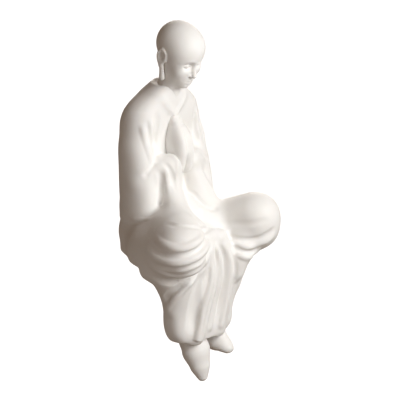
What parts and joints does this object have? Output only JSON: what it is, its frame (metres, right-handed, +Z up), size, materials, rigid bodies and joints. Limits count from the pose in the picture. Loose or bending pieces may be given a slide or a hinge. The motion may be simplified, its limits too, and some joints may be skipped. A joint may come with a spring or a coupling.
{
  "type": "buddha statue",
  "caption": "Seated robed monk-like figure with joined palms, cast hollow in matte white porcelain, made to sit on the edge of a shelf with its skirt and feet hanging.",
  "frame": {"origin": "on the seat's resting face, in the figure's middle plane and under the middle of its torso", "axes": "+Z up out of the ledge, the figure faces -Y over the ledge's edge, +X to the figure's left"},
  "size_m": [0.1112, 0.0997, 0.2555],
  "materials": {
    "porcelain": "unglazed matte white bisque with a faint sheen",
    "felt": "thin pale wool felt"
  },
  "bodies": {
    "root": {"upper_robe": "porcelain", "lower_robe": "porcelain", "head": "porcelain", "hands": "porcelain", "right_foot": "porcelain", "left_foot": "porcelain", "seat_felt": "felt"}
  },
  "joints": []
}
